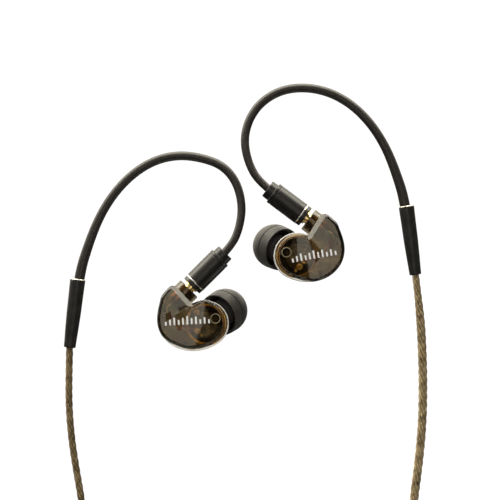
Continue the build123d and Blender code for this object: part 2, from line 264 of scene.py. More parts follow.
HOOK_LOOK = grained(
    "hook_tube", (0.0165, 0.0138, 0.0126), (0.024, 0.0205, 0.0182), (0.36, 0.44), 0.1, 0.0015,
)
SLEEVE_LOOK = grained(
    "shrink_sleeve", (0.008, 0.0075, 0.007), (0.015, 0.014, 0.013), (0.34, 0.46), 0.16, 0.004,
)
BLACK_PLASTIC_LOOK = grained(
    "black_plastic", (0.011, 0.011, 0.011), (0.019, 0.018, 0.018), (0.36, 0.5), 0.09, 0.006,
)
WHITE_PLASTIC_LOOK = grained(
    "white_plastic", (0.72, 0.7, 0.64), (0.84, 0.83, 0.79), (0.3, 0.42), 0.1, 0.003,
)
BOARD_LOOK = grained(
    "board", (0.02, 0.06, 0.03), (0.04, 0.11, 0.05), (0.3, 0.45), 0.08, 0.004, Coat_Weight=0.4,
)
FILM_LOOK = grained(
    "film", (0.5, 0.42, 0.26), (0.72, 0.64, 0.46), (0.18, 0.3), 0.14, 0.004, Metallic=0.3,
)
WIRE_LOOK = grained(
    "wire_enamel", (0.2, 0.014, 0.01), (0.34, 0.03, 0.016), (0.22, 0.34), 0.1, 0.003,
    Coat_Weight=0.5,
)
COPPER_STRIP_LOOK = grained(
    "contact_strip", (0.8, 0.26, 0.05), (0.95, 0.42, 0.1), (0.22, 0.34), 0.1, 0.003, Metallic=0.6,
)
# Real solder, but its colour is set pale and mostly diffuse so the drops show the bright glints: painted glint.
SOLDER_GLINT_LOOK = grained(
    "solder", (0.95, 0.62, 0.2), (1.0, 0.82, 0.42), (0.14, 0.26), 0.12, 0.01, Metallic=0.25,
)
STEEL_LOOK = grained(
    "steel", (0.16, 0.155, 0.15), (0.24, 0.235, 0.225), (0.3, 0.42), 0.1, 0.004, Metallic=0.9,
)
MAGNET_LOOK = grained(
    "driver_back", (0.12, 0.11, 0.1), (0.2, 0.185, 0.165), (0.3, 0.45), 0.1, 0.004, Metallic=0.3,
)
LIP_LOOK = grained(
    "sleeve_lip", (0.72, 0.69, 0.6), (0.9, 0.87, 0.78), (0.2, 0.32), 0.1, 0.003, Metallic=0.75,
)
PRINT_LOOK = grained(
    "printed_ink", (0.9, 0.9, 0.88), (0.97, 0.97, 0.96), (0.42, 0.55), 0.06, 0.002,
)


def cable_look(name, low, high):
    """Clear insulation over fine bronze and gold wires that wind round each strand, darkened towards each strand's
    edges as painted shade.
    """
    look = Look(name, Metallic=0.55, Coat_Weight=0.7, Coat_Roughness=0.12)
    laid = look.tree.nodes.new("ShaderNodeUVMap")
    laid.uv_map = "laid"
    wires = look.node("ShaderNodeTexWave", Scale=1.0, Distortion=0.4, Detail=1.0)
    wires.bands_direction = "DIAGONAL"
    look.link(laid.outputs["UV"], wires.inputs["Vector"])
    patches = look.noise(2.2)
    blend = look.node("ShaderNodeMath")
    blend.operation = "MULTIPLY_ADD"
    blend.inputs[1].default_value = 0.45
    look.link(wires.outputs["Fac"], blend.inputs[0])
    look.link(patches, blend.inputs[2])
    look.colours(blend.outputs[0], low, high, 0.45, 1.05)
    # Painted shade: the base colour runs dark towards each strand's edges as seen, standing in for the shade in
    # the gaps between strands.
    edge = look.node("ShaderNodeLayerWeight", Blend=0.5)
    share = look.node("ShaderNodeMapRange", From_Min=0.3, From_Max=0.85)
    look.link(edge.outputs["Facing"], share.inputs["Value"])
    look.tinged(share.outputs["Result"], (0.05, 0.034, 0.018))
    look.roughness(patches, 0.26, 0.4)
    look.bump(wires.outputs["Fac"], 0.012)
    return look


DARK_CABLE = cable_look("bronze_cable", (0.1, 0.064, 0.027), (0.52, 0.39, 0.2))
# The right branch's copy of the same cable look, painted lighter: painted light.
PAINTED_LIT_CABLE = cable_look("cable_painted_lighter", (0.15, 0.098, 0.042), (0.85, 0.67, 0.38))


def dress(piece, look):
    piece.data.materials.clear()
    piece.data.materials.append(look.material)


# ---- mesh tools
def circle(count):
    """Cosine and sine of each of the evenly spaced angles round a circle."""
    angles = [2 * math.pi * i / count for i in range(count)]
    return [(math.cos(a), math.sin(a)) for a in angles]


def skin(mesh, ring, other):
    """Quads, or a fan, between two rings of vertices."""
    if len(ring) == 1 and len(other) == 1:
        return
    count = max(len(ring), len(other))
    for i in range(count):
        j = (i + 1) % count
        if len(ring) == 1:
            corners = (ring[0], other[j], other[i])
        elif len(other) == 1:
            corners = (ring[i], ring[j], other[0])
        else:
            corners = (ring[i], ring[j], other[j], other[i])
        mesh.faces.new(corners)


def to_object(mesh, name, look, body):
    """Closes a bmesh into a smooth-shaded piece that rides on a body."""
    bmesh.ops.recalc_face_normals(mesh, faces=mesh.faces)
    data = bpy.data.meshes.new(name)
    mesh.to_mesh(data)
    mesh.free()
    data.shade_smooth()
    data.set_sharp_from_angle(angle=math.radians(SHARP_DEGREES))
    piece = bpy.data.objects.new(name, data)
    scene.collection.objects.link(piece)
    dress(piece, look)
    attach(piece, body)
    return piece


def soften(points, radius, closed=False):
    """Rounds the corners of a profile, each with an arc-like run of four points."""
    points = [Vector(p) for p in points]
    count = len(points)
    result = []
    for i, corner in enumerate(points):
        if not closed and i in (0, count - 1):
            result.append(corner)
            continue
        before, after = points[i - 1], points[(i + 1) % count]
        room = min((corner - before).length, (after - corner).length) * 0.45
        reach = min(radius, room)
        start = corner + (before - corner).normalized() * reach
        end = corner + (after - corner).normalized() * reach
        for step in range(4):
            t = step / 3
            result.append(start * (1 - t) ** 2 + corner * 2 * t * (1 - t) + end * t * t)
    return result


def lathe(name, profile, place, look, body, closed=False, round_mm=0.0, segments=96):
    """A turned piece: profile holds (radius, height) pairs along place's Z axis."""
    points = soften(profile, round_mm, closed) if round_mm else [Vector(p) for p in profile]
    mesh = bmesh.new()
    rings = []
    for radius, height in points:
        if radius < 1e-4:
            rings.append([mesh.verts.new(place @ Vector((0, 0, height)))])
            continue
        spots = [Vector((radius * c, radius * s, height)) for c, s in circle(segments)]
        rings.append([mesh.verts.new(place @ spot) for spot in spots])
    for ring, other in zip(rings, rings[1:]):
        skin(mesh, ring, other)
    if closed:
        skin(mesh, rings[-1], rings[0])
    return to_object(mesh, name, look, body)


def path_frames(points):
    """Tangent, normal and binormal at each point, turning as little as they can."""
    tangents = []
    for i in range(len(points)):
        ahead, behind = points[min(i + 1, len(points) - 1)], points[max(i - 1, 0)]
        tangents.append((ahead - behind).normalized())
    normal = tangents[0].orthogonal().normalized()
    frames = []
    for i, tangent in enumerate(tangents):
        if i:
            normal = tangents[i - 1].rotation_difference(tangent) @ normal
            normal = (normal - tangent * normal.dot(tangent)).normalized()
        frames.append((tangent, normal, tangent.cross(normal)))
    return frames


def distances(points):
    total, result = 0.0, [0.0]
    for before, after in zip(points, points[1:]):
        total += (after - before).length
        result.append(total)
    return result


def spline_points(name, control, per_span):
    """Points read from a smooth NURBS spline through a route, in metres."""
    curve = bpy.data.curves.new(name, "CURVE")
    curve.dimensions = "3D"
    spline = curve.splines.new("NURBS")
    spline.points.add(len(control) - 1)
    for point, place in zip(spline.points, control):
        point.co = (*place, 1)
    spline.order_u = 3
    spline.use_endpoint_u = True
    spline.resolution_u = per_span
    holder = bpy.data.objects.new(name, curve)
    scene.collection.objects.link(holder)
    line = bpy.data.meshes.new_from_object(holder)
    points = [v.co.copy() for v in line.vertices]
    bpy.data.objects.remove(holder)
    bpy.data.meshes.remove(line)
    bpy.data.curves.remove(curve)
    return points


def even_points(points, step_mm):
    """The same line with its points the same distance apart."""
    lengths = distances(points)
    count = max(int(lengths[-1] / (step_mm * MM)), 2)
    result, k = [], 0
    for i in range(count + 1):
        goal = lengths[-1] * i / count
        while k < len(points) - 2 and lengths[k + 1] < goal:
            k += 1
        share = (goal - lengths[k]) / max(lengths[k + 1] - lengths[k], 1e-12)
        result.append(points[k].lerp(points[k + 1], min(share, 1.0)))
    return result


def sweep(name, points, radius_at, look, body, sides=32):
    """A round tube along points; radius_at gives its radius in mm for each share of its length."""
    mesh = bmesh.new()
    lengths = distances(points)
    rings = []
    for point, reach, (_, normal, binormal) in zip(points, lengths, path_frames(points)):
        radius = radius_at(reach / lengths[-1]) * MM
        spokes = [(normal * c + binormal * s) * radius for c, s in circle(sides)]
        rings.append([mesh.verts.new(point + spoke) for spoke in spokes])
    for ring, other in zip(rings, rings[1:]):
        skin(mesh, ring, other)
    mesh.faces.new(rings[0])
    mesh.faces.new(rings[-1])
    return to_object(mesh, name, look, body)


# ---- free cords
FLOOR_GAP = 0.03
BRANCH = 1.95              # diameters
MAIN = 2.5
LAY = BRANCH / 2 + FLOOR_GAP   # height of a cord's middle when it lies on the floor
MAIN_LAY = MAIN / 2 + FLOOR_GAP
PAIR = 1.25                # half of the distance between the two branches in the splitter
PAIR_HEIGHT = 2.5

sleeve_ends = {
    "left": ((-46.1, -7.6, 2.09), (-48.35, -26.1, 1.67)),
    "right": ((41.85, 12.0, 2.09), (44.35, -6.6, 1.67)),
}
branch_routes = {
    "left": [
        (-48.55, -33.0, LAY + 0.1), (-48.6, -41.5, LAY), (-47.9, -50.5, LAY),
        (-46.6, -59.0, LAY), (-45.1, -67.4, LAY), (-44.3, -77.5, LAY),
    ],
    "right": [
        (45.4, -14.6, LAY + 0.1), (46.15, -25.0, LAY), (46.45, -36.5, LAY),
        (46.2, -47.0, LAY), (45.2, -57.5, LAY), (43.9, -67.0, LAY), (43.5, -76.6, LAY),
    ],
}
lead_routes = {
    "left": [
        (-23.1, -82.2, 3 * LAY), (-21.6, -75.6, LAY + 0.3), (-15.9, -71.9, LAY),
        (-8.6, -72.9, LAY), (-3.4, -78.9, LAY + 0.6),
        (-PAIR, -87.0, PAIR_HEIGHT), (-PAIR, -91.0, PAIR_HEIGHT), (-PAIR, -108.0, PAIR_HEIGHT),
    ],
    "right": [
        (22.6, -81.2, 3 * LAY), (21.4, -74.8, LAY + 0.3), (15.8, -71.4, LAY),
        (8.7, -72.6, LAY), (3.5, -78.6, LAY + 0.6),
        (PAIR, -87.0, PAIR_HEIGHT), (PAIR, -91.0, PAIR_HEIGHT), (PAIR, -108.0, PAIR_HEIGHT),
    ],
}
coil_centres = {"left": (-33.6, -89.5), "right": (33.0, -88.2)}
main_start = [(0.0, -117.0, 2.5), (0.5, -126.2, MAIN_LAY + 0.2), (8.2, -131.2, MAIN_LAY)]
main_coil_centre = (20.0, -144.0)
main_end = [(10.0, -158.9, 5.0), (1.0, -157.6, 3.55)]

BRANCH_COIL = 10.6         # mean radius
OUT, IN = BRANCH_COIL + BRANCH / 2, BRANCH_COIL - BRANCH / 2
NEAR, MIDDLE, FAR = 11.5, 14.0, 16.5   # radii of the main coil's turns


def windings(stays, lay):
    """A coil as (turns so far, radius, height) at the start and end of each stay."""
    moves = []
    for first, last, radius, layer in stays:
        moves += [(first, radius, layer * lay), (last, radius, layer * lay)]
    return moves


# Each stay: (first turn, last turn, radius, height in lays). Between stays the cord moves over.
branch_windings = windings(
    [(0.0, 0.6, OUT, 1), (0.85, 1.33, IN, 1), (1.58, 2.05, IN, 3), (2.3, 2.5, OUT, 3)], LAY
)
main_windings = windings(
    [
        (0.0, 0.6, FAR, 1), (0.85, 1.6, MIDDLE, 1), (1.85, 2.33, NEAR, 1),
        (2.58, 3.05, NEAR, 3), (3.3, 4.05, MIDDLE, 3), (4.3, 4.78, FAR, 3),
        (5.03, 5.6, FAR, 5), (5.85, 6.6, MIDDLE, 5), (6.85, 7.05, NEAR, 5),
    ],
    MAIN_LAY,
)
main_windings += [(7.2, 12.0, 7 * MAIN_LAY), (7.5, 17.0, 7 * MAIN_LAY - 0.4)]
TURN_POINTS = 16           # control points in each turn


def coil_points(centre, moves, start_degrees, sense):
    """Control points of a coil wound as its list says, the same number for each turn."""
    cut_back = 2 / (1 + math.cos(2 * math.pi / TURN_POINTS))
    points = []
    for i in range(int(moves[-1][0] * TURN_POINTS) + 1):
        turns = i / TURN_POINTS
        k = max(n for n, move in enumerate(moves[:-1]) if move[0] <= turns)
        (t0, r0, z0), (t1, r1, z1) = moves[k], moves[k + 1]
        share = smooth_step((turns - t0) / (t1 - t0))
        radius = (r0 + (r1 - r0) * share) * math.sqrt(cut_back)
        a = math.radians(start_degrees) + sense * 2 * math.pi * turns
        x, y = centre[0] + radius * math.cos(a), centre[1] + radius * math.sin(a)
        points.append((x, y, z0 + (z1 - z0) * share))
    return points


STRAND_FILL = 0.99         # strands are a hair thinner than touching
BRANCH_PITCH, MAIN_PITCH = 13.4, 16.0   # length of cable for one turn of its strands


def strands(name, points, diameter, pitch_mm, look, swell=None, count=6, sides=8):
    """A twisted cable: round strands laid together, their direction falling to the right.
    Swell gives how much thicker it is at a distance in mm; it still lies on the floor."""
    spread = 1 / math.sin(math.pi / count)
    strand = diameter / 2 / (1 + spread) * MM
    offset = spread * strand
    rate = -2 * math.pi / (pitch_mm * MM)
    lengths = distances(points)
    frames = path_frames(points)
    mesh = bmesh.new()
    laid = mesh.loops.layers.uv.new("laid")
    for n in range(count):
        rings = []
        for point, reach, (tangent, normal, binormal) in zip(points, lengths, frames):
            phase = rate * reach + 2 * math.pi * n / count
            grown = swell(reach / MM) if swell else 1.0
            middle = point + Vector((0, 0, (grown - 1) * diameter / 2 * MM))
            outward = normal * math.cos(phase) + binormal * math.sin(phase)
            around = binormal * math.cos(phase) - normal * math.sin(phase)
            course = (tangent + around * offset * rate).normalized()
            across = course.cross(outward)
            spokes = [(outward * c + across * s) * strand * STRAND_FILL for c, s in circle(sides)]
            corners = [middle + (outward * offset + spoke) * grown for spoke in spokes]
            rings.append([mesh.verts.new(corner) for corner in corners])
        for k, (ring, other) in enumerate(zip(rings, rings[1:])):
            for i in range(sides):
                j = (i + 1) % sides
                face = mesh.faces.new((ring[i], ring[j], other[j], other[i]))
                spots = [(i, k), (i + 1, k), (i + 1, k + 1), (i, k + 1)]
                for loop, (turn, step) in zip(face.loops, spots):
                    loop[laid].uv = (turn * 4.0 / sides, lengths[step] / (0.45 * MM))
        mesh.faces.new(rings[0])
        mesh.faces.new(rings[-1])
    return to_object(mesh, name, look, "cable")


def full_branch(distance):
    """The right branch is a little fuller over its first stretch below the sleeve."""
    return 1 + 0.24 * smooth_step((distance - 3) / 12) * smooth_step((80 - distance) / 25)


def make_cords():
    """Both branches and the main cable, each swept as twisted strands."""
    for side in SIDES:
        start = sleeve_ends[side][1]
        sense, first = (1, 180) if side == "left" else (-1, 0)
        winding = coil_points(coil_centres[side], branch_windings, first, sense)
        route = [start] + branch_routes[side] + winding + lead_routes[side]
        line = even_points(spline_points(f"{side}_route", [at(*p) for p in route], 20), 0.45)
        # The right branch gets the lighter copy of the cable look, which is painted light.
        look, swell = (PAINTED_LIT_CABLE, full_branch) if side == "right" else (DARK_CABLE, None)
        cable = strands(f"{side}_cable", line, BRANCH, BRANCH_PITCH, look, swell)
        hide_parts(f"{side}_branch_cable", f"{side}_branch_coil", f"{side}_branch_lead")
    winding = coil_points(main_coil_centre, main_windings, 90, -1)
    route = main_start + winding + main_end
    line = even_points(spline_points("main_route", [at(*p) for p in route], 20), 0.5)
    cable = strands("main_cable_strands", line, MAIN, MAIN_PITCH, DARK_CABLE)
    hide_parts("main_cable", "main_coil", "main_lead")


TIE_GAP = 0.5              # between a strap and its coil


def make_ties():
    """A soft strap round each coil keeps its turns together."""
    bundles = [
        ("left_tie", coil_centres["left"], 288, IN, OUT, BRANCH, 4 * LAY),
        ("right_tie", coil_centres["right"], 252, IN, OUT, BRANCH, 4 * LAY),
        ("main_tie", main_coil_centre, 126, NEAR, FAR, MAIN, 6 * MAIN_LAY),
    ]
    for name, centre, turn, first, last, diameter, height in bundles:
        low, high = first - diameter / 2 - TIE_GAP, last + diameter / 2 + TIE_GAP
        top = height + TIE_GAP
        corners = [(low, 0, 0), (high, 0, 0), (high, 0, top), (low, 0, top)]
        corners = soften(corners, 0.9, closed=True)
        middle = (low + high) / 2
        rings = []
        for depth, reach in ((0, -1.45), (0, 1.45), (0.5, 1.6), (1, 1.45), (1, -1.45), (0.5, -1.6)):
            across = 1 - 0.25 * depth / (high - middle)
            along = 1 - 0.27 * depth / top
            xs = [middle + (p.x - middle) * across for p in corners]
            zs = [0.02 * depth + p.z * along for p in corners]
            rings.append([Vector((x, reach, z)) for x, z in zip(xs, zs)])
        turned = Matrix.Rotation(math.radians(turn), 4, "Z")
        place = Matrix.Translation(at(*centre, 0)) @ turned @ TO_METRES
        mesh = bmesh.new()
        made = skin_rings(mesh, place, rings)
        skin(mesh, made[-1], made[0])
        to_object(mesh, name, BLACK_PLASTIC_LOOK, "cable")


# ---- ear hooks and sleeves
hook_bends = {
    "left": [
        (-2.75, 6.0, 10.4), (-2.0, 11.8, 9.5), (-3.5, 18.0, 8.4), (-7.2, 22.5, 7.3),
        (-12.9, 24.6, 6.3), (-19.0, 25.35, 5.4), (-25.2, 24.1, 4.6), (-31.0, 20.7, 3.9),
        (-36.0, 15.7, 3.3), (-39.9, 9.7, 2.8), (-42.9, 2.6, 2.5),
    ],
    "right": [
        (-0.3, 22.6, 10.3), (-1.65, 28.8, 9.4), (-0.5, 34.4, 8.5), (2.8, 39.3, 7.5),
        (8.2, 42.6, 6.5), (14.6, 43.45, 5.6), (21.2, 42.2, 4.8), (27.2, 38.9, 4.1),
        (32.2, 34.0, 3.5), (36.1, 28.0, 3.0), (38.9, 21.3, 2.6),
    ],
}
HOOK_ROOT, HOOK_FIRST_BEND = 7.2, 13.6     # along the connector's axis


def hook_radius(share):
    """The tube is thinnest at the connector and swells towards the sleeve."""
    return 1.05 + 0.15 * smooth_step(share / 0.4) + 0.22 * smooth_step((share - 0.62) / 0.26)


def make_hook(side):
    axis = along_connector(side)
    start = axis @ Vector((0, 0, HOOK_ROOT))
    first = axis @ Vector((0, 0, HOOK_FIRST_BEND))
    top, end = (at(*p) for p in sleeve_ends[side])
    control = [start, first] + [at(*p) for p in hook_bends[side]] + [top, end]
    line = even_points(spline_points(f"{side}_hook_route", control, 16), 0.5)
    hook = sweep(f"{side}_hook", line, hook_radius, HOOK_LOOK, "cable")
    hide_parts(f"{side}_ear_hook")

    length = (end - top).length / MM
    place = turned_to(top, end - top)
    profile = [
        (0.0, 0.5), (1.3, 0.5), (1.45, 0.3), (1.92, 0.3), (2.06, 0.5), (2.04, 1.6), (1.98, 5.0),
        (1.93, length * 0.5), (1.78, length * 0.74), (1.64, length * 0.9), (1.6, length - 0.5),
        (1.56, length), (1.2, length), (1.0, length - 0.8), (0.0, length - 0.8),
    ]
    sleeve = lathe(
        f"{side}_sleeve", profile, place, SLEEVE_LOOK, "cable", round_mm=0.16,
    )
    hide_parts(f"{side}_cable_sleeve")
    lip = [(1.5, 0.1), (1.86, 0.14), (2.03, 0.27), (2.03, 0.4), (1.8, 0.43), (1.45, 0.36)]
    lathe(
        f"{side}_sleeve_ring", lip, place, LIP_LOOK, "cable",
        closed=True, round_mm=0.05,
    )


# ---- ear tips
def arc(radius, centre_height, first, last, steps):
    """Profile points on a circle round a point of the axis, from one angle to another."""
    points = []
    for i in range(steps + 1):
        a = math.radians(first + (last - first) * i / steps)
        points.append((radius * math.cos(a), centre_height + radius * math.sin(a)))
    return points


TIP_SHIFTS = {"left": 0.3, "right": 0.5}    # how far the soft tips sit outwards on their nozzles
TIP_LIFT = 0.08
TIP_FOOT = 5.5                              # from the driver's centre along the nozzle
DOME, HOLLOW, DOME_CENTRE = 5.9, 5.25, 3.3  # radii outside and inside, and height over the foot


def make_tip(side):
    """A hollow silicone dome with a fine groove round it and a soft inner sleeve."""
    axis = Vector(mounts[f"{side}_ear_canal"]["axis"])
    aside = Vector((axis.x, axis.y, 0)).normalized() * TIP_SHIFTS[side] + Vector((0, 0, TIP_LIFT))
    foot = Matrix.Translation((0, 0, TIP_FOOT))
    place = Matrix.Translation(aside * MM) @ along_nozzle(side) @ foot
    dome = arc(DOME, DOME_CENTRE, 0, 66, 16)
    inside = arc(HOLLOW, DOME_CENTRE, 48, 0, 10)
    profile = [(5.72, 0.0), (5.84, 1.2), (5.89, 2.6), (DOME, 2.86)]
    profile += [(5.66, 2.93), (5.66, 3.1), (DOME, 3.17)]
    profile += dome[1:]
    profile += [(2.15, 8.78), (2.0, 8.5), (2.0, 5.0), (2.62, 4.98), (2.62, 0.35), (2.75, 0.2)]
    profile += [(3.35, 0.2), (3.5, 0.4), (3.5, 6.6), (3.62, 7.1)]
    profile += inside + [(5.22, 2.0), (5.2, 0.9), (5.3, 0.06), (5.45, -0.05), (5.62, -0.05)]
    tip = lathe(
        f"{side}_tip", profile, place, SILICONE_LOOK, f"{side}_tip", closed=True,
    )
    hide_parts(f"{side}_ear_tip")


# ---- housings
INTO_LEFT = earpieces["left"].inverted()


def plate_outline():
    """The faceplate's outline in the earpiece frame, evenly spaced, read from its CAD solid."""
    mesh = bmesh.new()
    mesh.from_mesh(nodes["left_faceplate"].data)
    mesh.transform(INTO_LEFT)
    bmesh.ops.remove_doubles(mesh, verts=mesh.verts, dist=1e-4)
    floor = min(v.co.z for v in mesh.verts)
    under = {f for f in mesh.faces if all(v.co.z < floor + 0.01 for v in f.verts)}
    border = [e for e in mesh.edges if sum(f in under for f in e.link_faces) == 1]
    links = {}
    for edge in border:
        a, b = edge.verts
        links.setdefault(a, []).append(b)
        links.setdefault(b, []).append(a)
    start = border[0].verts[0]
    loop, before, here = [start.co.copy()], None, start
    while True:
        onward = next(v for v in links[here] if v is not before)
        if onward is start:
            break
        before, here = here, onward
        loop.append(here.co.copy())
    mesh.free()
    flat = [Vector((p.x, p.y, 0)) for p in loop]
    points = even_points([p * MM for p in flat + flat[:1]], 0.3)[:-1]
    points = [p / MM for p in points]
    area = sum(a.x * b.y - b.x * a.y for a, b in zip(points, points[1:] + points[:1]))
    return points if area > 0 else points[::-1]


def smoothed(points, rounds):
    for _ in range(rounds):
        count = len(points)
        points = [
            points[i] * 0.5 + (points[i - 1] + points[(i + 1) % count]) * 0.25 for i in range(count)
        ]
    return points


OUTLINE = smoothed(plate_outline(), 2)
HUB = Vector((-8.6, -6.4, 0))              # rings of the housing shrink towards this point
NOZZLE_LOCAL = INTO_LEFT.to_3x3() @ Vector(mounts["left_ear_canal"]["axis"])
NOZZLE_LOCAL.normalize()
DRIVER_LOCAL = INTO_LEFT @ (along_nozzle("left") @ Vector((0, 0, 0)))
PLATE_TOP = 4.6


def inward(points, distance):
    """Moves an outline in square to itself, for small distances."""
    count = len(points)
    moved = []
    for i, point in enumerate(points):
        along = (points[(i + 1) % count] - points[i - 1]).normalized()
        moved.append(point + Vector((-along.y, along.x, 0)) * distance)
    return moved


def slanted(point, limit):
    """Keeps a point behind the flat, round-edged face that the nozzle stands on."""
    soft = 0.9
    depth = (point - DRIVER_LOCAL).dot(NOZZLE_LOCAL)
    if depth <= limit - soft:
        return point
    kept = limit - soft * math.exp(-(depth - limit + soft) / soft)
    return point - NOZZLE_LOCAL * (depth - kept)


def rim_share(side, point):
    """How far, from 0 to 1, the wall stands out past the faceplate in this direction."""
    first, last = RIM_TURNS[side]
    spoke = earpieces[side].to_3x3() @ (point - HUB)
    turn = (math.degrees(math.atan2(spoke.y, spoke.x)) - first) % 360
    return smooth_step(turn / RIM_FADE) * smooth_step((last - first - turn) / RIM_FADE)


def housing_ring(side, shrink, inset, height, limit):
    """One ring of the housing: the outline shrunk towards the hub, then set in."""
    ring = inward([HUB + (p - HUB) * shrink for p in OUTLINE], inset)
    lean = RIM_WIDTH * smooth_step((height - 0.2) / 3.2)
    leaning = []
    for point, base in zip(ring, OUTLINE):
        towards_hub = (HUB - point).normalized()
        leaning.append(point + towards_hub * lean * rim_share(side, base))
    return [slanted(p + Vector((0, 0, height)), limit) for p in leaning]


def skin_rings(mesh, place, rings, pole=None, depths=None):
    """Skins rings of points; a last pole closes them. Depths tint each ring's plastic."""
    layer = mesh.verts.layers.float.get("depth") or mesh.verts.layers.float.new("depth")
    made = [[mesh.verts.new(place @ p) for p in ring] for ring in rings]
    for ring, depth in zip(made, depths or []):
        for vertex in ring:
            vertex[layer] = depth
    for ring, other in zip(made, made[1:]):
        skin(mesh, ring, other)
    if pole is not None:
        tip = mesh.verts.new(place @ pole)
        tip[layer] = 1.0
        skin(mesh, made[-1], [tip])
    return made


# Rings of the housing: (share of the outline, how far set in, height).
OUTER_RINGS = [
    (1.0, 0.34, 3.47), (1.0, 0.2, 3.45), (1.0, 0.05, 3.34), (1.0, -0.06, 3.1), (1.0, -0.14, 2.5),
    (1.0, -0.18, 1.6), (1.0, -0.16, 0.7), (1.0, -0.06, -0.3), (1.0, 0.14, -1.2),
    (0.985, 0.3, -2.0), (0.95, 0.42, -2.7), (0.9, 0.5, -3.25), (0.82, 0.55, -3.7),
    (0.71, 0.55, -4.0), (0.58, 0.5, -4.15), (0.43, 0.4, -4.2), (0.27, 0.2, -4.2), (0.12, 0.1, -4.2),
]
INNER_RINGS = [
    (1.0, 0.8, 3.47), (1.0, 0.8, 2.4), (1.0, 0.78, 1.2), (1.0, 0.8, 0.0),
    (0.985, 0.86, -0.9), (0.95, 0.92, -1.8), (0.9, 0.98, -2.5), (0.82, 0.95, -3.05),
    (0.71, 0.8, -3.36), (0.58, 0.6, -3.48), (0.43, 0.4, -3.5), (0.27, 0.2, -3.5), (0.12, 0.1, -3.5),
]
SLANT, WALL = 4.3, 0.7
RIM_WIDTH = 0.75                           # how far the wall leans out, at most
RIM_TURNS = {"left": (200, 415), "right": (75, 275)}   # degrees in the frame, where it does
RIM_FADE = 40                              # degrees over which it begins and ends


def make_shell(side):
    """A smooth hollow housing, open at the top where the faceplate closes it."""
    place, body = earpieces[side], f"{side}_earpiece"
    mesh = bmesh.new()
    walls = []
    for levels, limit in ((OUTER_RINGS, SLANT), (INNER_RINGS, SLANT - WALL)):
        rings = [housing_ring(side, share, inset, z, limit) for share, inset, z in levels]
        depths = [smooth_step((2.6 - z) / 5.2) for _, _, z in levels]
        pole = slanted(HUB + Vector((0, 0, levels[-1][2])), limit)
        walls.append(skin_rings(mesh, place, rings, pole, depths))
    skin(mesh, walls[0][0], walls[1][0])
    shell = to_object(mesh, f"{side}_housing", SHELL_LOOK, body)
    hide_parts(f"{side}_shell")

    boss = [
        (2.5, 3.3), (2.5, 5.0), (3.1, 5.05), (3.35, 4.95), (3.42, 4.75),
        (3.6, 4.5), (4.05, 4.28), (4.3, 4.1), (4.2, 3.85), (3.2, 3.3),
    ]
    lathe(
        f"{side}_nozzle_boss", boss, along_nozzle(side), BOSS_LOOK, body,
        closed=True, round_mm=0.12,
    )
    neck = [(0.0, -8.2), (3.2, -8.2), (3.2, -2.45), (2.14, -2.45), (2.14, -7.95), (0.0, -7.95)]
    axis = along_connector(side)
    lathe(f"{side}_neck_collar", neck, axis, NECK_LOOK, body, round_mm=0.22)


def make_rim_highlight(side):
    """A painted highlight: a pale bead along the top edge of the wall, where it stands out past the faceplate."""
    place = earpieces[side]
    shares = [rim_share(side, p) for p in OUTLINE]
    start = next(i for i, share in enumerate(shares) if share > 0.05 and shares[i - 1] <= 0.05)
    turned = OUTLINE[start:] + OUTLINE[:start]
    edge = [p for p in inward(turned, 0.12) if rim_share(side, p) > 0.05]
    line = even_points([place @ (p + Vector((0, 0, 3.2))) for p in edge], 0.4)
    sweep(
        f"{side}_rim", line, lambda share: 0.03 + 0.17 * math.sin(math.pi * share) ** 0.6,
        RIM_HIGHLIGHT_LOOK, f"{side}_earpiece", sides=12,
    )


def neck_share(point):
    """1 along the straight edge over the neck, 0 away from it."""
    across = smooth_step((point.x + 6.2) / 0.9)
    return across * smooth_step((point.y + 4.6) / 1.2)


def make_faceplate(side):
    """A flat polished cover with a rolled edge, a wide bevel over the neck and a round mark."""
    place, body = earpieces[side], f"{side}_earpiece"
    mesh = bmesh.new()
    levels = [
        (0.3, 3.53), (0.2, 3.6), (0.16, 3.75), (0.16, 4.15),
        (0.22, 4.36), (0.36, 4.52), (0.56, 4.59), (0.78, PLATE_TOP),
    ]
    low = levels[0][1]
    rings = []
    for inset, z in levels:
        ring = []
        for point, base in zip(inward(OUTLINE, inset), OUTLINE):
            towards_hub = (HUB - point).normalized()
            moved = point + towards_hub * RIM_WIDTH * rim_share(side, base)
            slope = 0.35 - 1.25 * (z - low) / (PLATE_TOP - low)
            moved.x += neck_share(base) * (inset + slope)
            ring.append(moved + Vector((0, 0, z)))
        rings.append(ring)
    made = skin_rings(mesh, place, rings)
    edges = [mesh.edges.get((made[-1][i - 1], made[-1][i])) for i in range(len(OUTLINE))]
    bmesh.ops.triangle_fill(mesh, use_beauty=True, edges=edges)
    mesh.faces.new(made[0])
    plate = to_object(mesh, f"{side}_cover", PLATE_LOOK, body)
    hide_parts(f"{side}_faceplate")
    spot = place @ Matrix.Translation((-3.0, -10.5, PLATE_TOP))
    lip = [(1.12, 0.0), (1.16, 0.035), (1.22, 0.045), (1.3, 0.03), (1.34, 0.0), (1.22, -0.02)]
    lathe(f"{side}_cover_mark", lip, spot, MARK_LOOK, body, closed=True, segments=64)


PRINTS = {"left": ((-16.5, -18.5), 3.0), "right": ((16.8, -1.2), 10.0)}   # layout centre, degrees
BARS = [1.0, 1.5, 2.0, 1.3, 1.8, 2.2, 1.6, 2.0, 1.2, 1.7, 1.1]
BAR_PITCH, BAR_WIDTH = 1.14, 0.46


